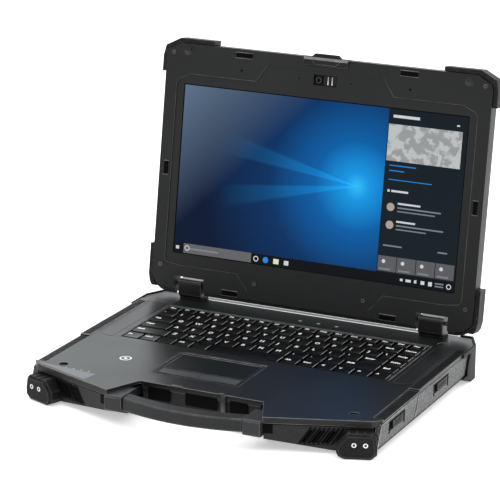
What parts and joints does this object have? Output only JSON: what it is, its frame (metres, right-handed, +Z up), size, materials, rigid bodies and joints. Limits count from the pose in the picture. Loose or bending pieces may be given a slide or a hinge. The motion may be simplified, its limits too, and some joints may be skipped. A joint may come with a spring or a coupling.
{
  "type": "rugged laptop computer",
  "caption": "Rugged clamshell laptop with rubber corner bumpers, sliding front carry handle, hinged port doors, offset touchpad and matte screen bezel.",
  "frame": {"origin": "on the surface it stands on, under the middle of its bounding box", "axes": "+X to the user's right along the hinge line, +Y away from the user, +Z up"},
  "size_m": [0.365, 0.3434, 0.2995],
  "materials": {
    "shell_plastic": "fine-textured charcoal moulded plastic",
    "cover_plastic": "fine-textured charcoal coated palm rest",
    "key_frame": "dark frame between the keys",
    "circuit_board": "green board with packages and connectors",
    "dark_metal": "dark anodised fins",
    "inner_plastic": "black moulded fan",
    "battery_case": "black wrapped cells",
    "grille_plastic": "slotted black plastic",
    "bumper_rubber": "moulded black rubber",
    "door_plastic": "coarse-grained grey-black plastic",
    "pull_plastic": "black slider",
    "handle_rubber": "soft-touch black grip",
    "handle_plastic": "charcoal moulded plastic",
    "hinge_metal": "satin black cast hinge",
    "pin_steel": "turned steel",
    "trim_metal": "satin silver bar",
    "button_metal": "dark satin button",
    "touch_surface": "smooth dark pad",
    "touch_button": "satin dark buttons",
    "key_plastic": "glossy black keycaps with pale marks",
    "lid_plastic": "fine-textured charcoal plastic",
    "bezel_plastic": "fine-textured charcoal bezel",
    "screen_glass": "lit display behind glass",
    "camera_glass": "black camera window",
    "shutter_plastic": "black sliding shutter",
    "latch_plastic": "dark moulded latch"
  },
  "bodies": {
    "base": {"base_bottom_shell": "shell_plastic", "base_top_cover": "cover_plastic", "keyboard_tray": "key_frame", "mainboard": "circuit_board", "heat_sink": "dark_metal", "battery_pack": "battery_case", "speaker_grille_left": "grille_plastic", "speaker_grille_right": "grille_plastic", "base_front_bumper_left": "bumper_rubber", "base_front_bumper_right": "bumper_rubber", "base_rear_bumper_left": "bumper_rubber", "base_rear_bumper_right": "bumper_rubber", "hinge_knuckle_left": "hinge_metal", "hinge_knuckle_right": "hinge_metal", "hinge_trim_bar": "trim_metal", "touchpad": "touch_surface"},
    "lid": {"lid_back_cover": "lid_plastic", "lid_bezel": "bezel_plastic", "display_panel": "screen_glass", "lid_top_bumper_left": "bumper_rubber", "lid_top_bumper_right": "bumper_rubber", "lid_foot_bumper_left": "bumper_rubber", "lid_foot_bumper_right": "bumper_rubber", "hinge_pin_left": "pin_steel", "hinge_pin_right": "pin_steel", "camera_module": "camera_glass"},
    "latch": {"lid_latch": "latch_plastic"},
    "shutter": {"camera_shutter": "shutter_plastic"},
    "fan": {"cooling_fan": "inner_plastic"},
    "handle": {"handle_grip": "handle_rubber", "handle_end_left": "handle_plastic", "handle_end_right": "handle_plastic"},
    "door_front_left": {"front_door_left": "door_plastic"},
    "door_front_right": {"front_door_right": "door_plastic"},
    "door_rear_left": {"rear_door_left": "door_plastic"},
    "door_rear_right": {"rear_door_right": "door_plastic"},
    "pull_front_left": {"front_door_pull_left": "pull_plastic"},
    "pull_front_right": {"front_door_pull_right": "pull_plastic"},
    "pull_rear_left": {"rear_door_pull_left": "pull_plastic"},
    "pull_rear_right": {"rear_door_pull_right": "pull_plastic"},
    "power": {"power_button": "button_metal"},
    "touch_left": {"touch_button_left": "touch_button"},
    "touch_right": {"touch_button_right": "touch_button"},
    "keys_function": {"function_keys": "key_plastic"},
    "keys_number": {"number_keys": "key_plastic"},
    "key_backspace": {"backspace_key": "key_plastic"},
    "keys_upper": {"upper_letter_keys": "key_plastic"},
    "keys_home": {"home_letter_keys": "key_plastic"},
    "key_enter": {"enter_key": "key_plastic"},
    "key_left_shift": {"left_shift_key": "key_plastic"},
    "keys_lower": {"lower_letter_keys": "key_plastic"},
    "key_right_shift": {"right_shift_key": "key_plastic"},
    "keys_left_modifier": {"left_modifier_keys": "key_plastic"},
    "key_space": {"space_bar": "key_plastic"},
    "keys_right_modifier": {"right_modifier_keys": "key_plastic"},
    "keys_arrow": {"arrow_keys": "key_plastic"},
    "keys_navigation": {"navigation_keys": "key_plastic"}
  },
  "joints": [
    {"name": "lid_hinge", "type": "hinge", "parent": "base", "child": "lid", "pos_m": [0, 0.12865, 0.047], "axis": [1, 0, 0], "range_deg": [-36, 98.4]},
    {"name": "latch_pivot", "type": "hinge", "parent": "lid", "child": "latch", "pos_m": [0, 0.15691, 0.29006], "axis": [-1, 0, 0], "range_deg": [0, 20], "stiffness_Nm_per_rad": 0.02, "springref_deg": -11.46},
    {"name": "shutter_slide", "type": "slide", "parent": "lid", "child": "shutter", "axis": [-1, 0, 0], "range_m": [0, 0.011]},
    {"name": "fan_spin", "type": "hinge", "parent": "base", "child": "fan", "pos_m": [0.096, 0.05985, 0.012], "axis": [0, 0, 1], "continuous": true},
    {"name": "handle_slide", "type": "slide", "parent": "base", "child": "handle", "axis": [0, 1, 0], "range_m": [0, 0.022]},
    {"name": "front_door_left_hinge", "type": "hinge", "parent": "base", "child": "door_front_left", "pos_m": [-0.179, -0.0793, 0.0109], "axis": [0, -1, 0], "range_deg": [0, 90]},
    {"name": "front_door_right_hinge", "type": "hinge", "parent": "base", "child": "door_front_right", "pos_m": [0.179, -0.0793, 0.0109], "axis": [0, 1, 0], "range_deg": [0, 90]},
    {"name": "rear_door_left_hinge", "type": "hinge", "parent": "base", "child": "door_rear_left", "pos_m": [-0.179, 0.0311, 0.0109], "axis": [0, -1, 0], "range_deg": [0, 90]},
    {"name": "rear_door_right_hinge", "type": "hinge", "parent": "base", "child": "door_rear_right", "pos_m": [0.179, 0.0311, 0.0109], "axis": [0, 1, 0], "range_deg": [0, 90]},
    {"name": "front_pull_left_slide", "type": "slide", "parent": "door_front_left", "child": "pull_front_left", "axis": [0, -1, 0], "range_m": [0, 0.008]},
    {"name": "front_pull_right_slide", "type": "slide", "parent": "door_front_right", "child": "pull_front_right", "axis": [0, -1, 0], "range_m": [0, 0.008]},
    {"name": "rear_pull_left_slide", "type": "slide", "parent": "door_rear_left", "child": "pull_rear_left", "axis": [0, -1, 0], "range_m": [0, 0.008]},
    {"name": "rear_pull_right_slide", "type": "slide", "parent": "door_rear_right", "child": "pull_rear_right", "axis": [0, -1, 0], "range_m": [0, 0.008]},
    {"name": "power_press", "type": "slide", "parent": "base", "child": "power", "axis": [0, 0, -1], "range_m": [0, 0.0008], "stiffness_N_per_m": 300, "springref_m": -0.0004},
    {"name": "touch_left_press", "type": "slide", "parent": "base", "child": "touch_left", "axis": [0, 0, -1], "range_m": [0, 0.0008], "stiffness_N_per_m": 300, "springref_m": -0.0004},
    {"name": "touch_right_press", "type": "slide", "parent": "base", "child": "touch_right", "axis": [0, 0, -1], "range_m": [0, 0.0008], "stiffness_N_per_m": 300, "springref_m": -0.0004},
    {"name": "function_press", "type": "slide", "parent": "base", "child": "keys_function", "axis": [0, 0, -1], "range_m": [0, 0.0018], "stiffness_N_per_m": 1500, "springref_m": -0.0004},
    {"name": "number_press", "type": "slide", "parent": "base", "child": "keys_number", "axis": [0, 0, -1], "range_m": [0, 0.0018], "stiffness_N_per_m": 1500, "springref_m": -0.0004},
    {"name": "backspace_press", "type": "slide", "parent": "base", "child": "key_backspace", "axis": [0, 0, -1], "range_m": [0, 0.0018], "stiffness_N_per_m": 300, "springref_m": -0.0004},
    {"name": "upper_press", "type": "slide", "parent": "base", "child": "keys_upper", "axis": [0, 0, -1], "range_m": [0, 0.0018], "stiffness_N_per_m": 1500, "springref_m": -0.0004},
    {"name": "home_press", "type": "slide", "parent": "base", "child": "keys_home", "axis": [0, 0, -1], "range_m": [0, 0.0018], "stiffness_N_per_m": 1500, "springref_m": -0.0004},
    {"name": "enter_press", "type": "slide", "parent": "base", "child": "key_enter", "axis": [0, 0, -1], "range_m": [0, 0.0018], "stiffness_N_per_m": 300, "springref_m": -0.0004},
    {"name": "left_shift_press", "type": "slide", "parent": "base", "child": "key_left_shift", "axis": [0, 0, -1], "range_m": [0, 0.0018], "stiffness_N_per_m": 300, "springref_m": -0.0004},
    {"name": "lower_press", "type": "slide", "parent": "base", "child": "keys_lower", "axis": [0, 0, -1], "range_m": [0, 0.0018], "stiffness_N_per_m": 1500, "springref_m": -0.0004},
    {"name": "right_shift_press", "type": "slide", "parent": "base", "child": "key_right_shift", "axis": [0, 0, -1], "range_m": [0, 0.0018], "stiffness_N_per_m": 300, "springref_m": -0.0004},
    {"name": "left_modifier_press", "type": "slide", "parent": "base", "child": "keys_left_modifier", "axis": [0, 0, -1], "range_m": [0, 0.0018], "stiffness_N_per_m": 600, "springref_m": -0.0004},
    {"name": "space_press", "type": "slide", "parent": "base", "child": "key_space", "axis": [0, 0, -1], "range_m": [0, 0.0018], "stiffness_N_per_m": 400, "springref_m": -0.0004},
    {"name": "right_modifier_press", "type": "slide", "parent": "base", "child": "keys_right_modifier", "axis": [0, 0, -1], "range_m": [0, 0.0018], "stiffness_N_per_m": 400, "springref_m": -0.0004},
    {"name": "arrow_press", "type": "slide", "parent": "base", "child": "keys_arrow", "axis": [0, 0, -1], "range_m": [0, 0.0018], "stiffness_N_per_m": 400, "springref_m": -0.0004},
    {"name": "navigation_press", "type": "slide", "parent": "base", "child": "keys_navigation", "axis": [0, 0, -1], "range_m": [0, 0.0018], "stiffness_N_per_m": 600, "springref_m": -0.0004}
  ]
}
